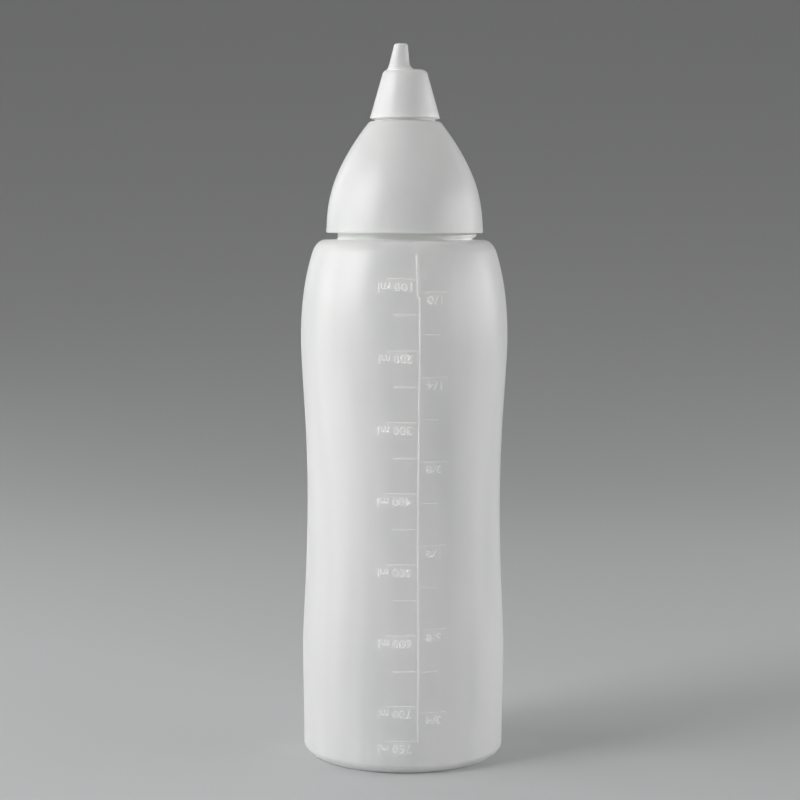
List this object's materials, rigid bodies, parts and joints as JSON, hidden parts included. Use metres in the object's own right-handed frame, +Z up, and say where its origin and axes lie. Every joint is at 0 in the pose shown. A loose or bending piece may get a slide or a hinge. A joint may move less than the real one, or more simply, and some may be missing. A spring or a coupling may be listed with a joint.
{
  "type": "sauce squeeze bottle",
  "caption": "Waisted, graduated squeeze bottle for sauce with a screw-on dome lid, a slit silicone spout and a hinged flip cap.",
  "frame": {"origin": "on the bottle's axis, at the surface that it stands on", "axes": "+Z up along the bottle's axis, towards the cap; -Y towards the viewer, the graduated side"},
  "size_m": [0.075, 0.075, 0.2585],
  "materials": {
    "natural_ldpe": "milky, translucent, satin, as blow-moulded",
    "natural_pp": "milky, translucent, satin, as injection-moulded",
    "silicone": "clear, slightly frosted, soft"
  },
  "bodies": {
    "bottle": {"bottle": "natural_ldpe"},
    "seal": {"lid_gasket": "silicone"},
    "lid": {"dome_lid": "natural_pp", "spout_valve": "silicone", "valve_retainer": "natural_pp", "cap_ring": "natural_pp", "living_hinge": "natural_pp"},
    "cap": {"flip_cap": "natural_pp"}
  },
  "joints": [
    {"name": "lid_rise", "type": "slide", "parent": "bottle", "child": "seal", "axis": [0, 0, 1], "range_m": [0, 0.0063]},
    {"name": "lid_turn", "type": "hinge", "parent": "seal", "child": "lid", "pos_m": [0, 0, 0.2], "axis": [0, 0, 1], "range_deg": [0, 540]},
    {"name": "cap_flip", "type": "hinge", "parent": "lid", "child": "cap", "pos_m": [0.00874, 0.01042, 0.2321], "axis": [-0.766, 0.6428, 0], "range_deg": [0, 140]}
  ],
  "couplings": [
    {"joint": "lid_rise", "follows": "lid_turn", "m_per_rad": 0.00066845}
  ]
}
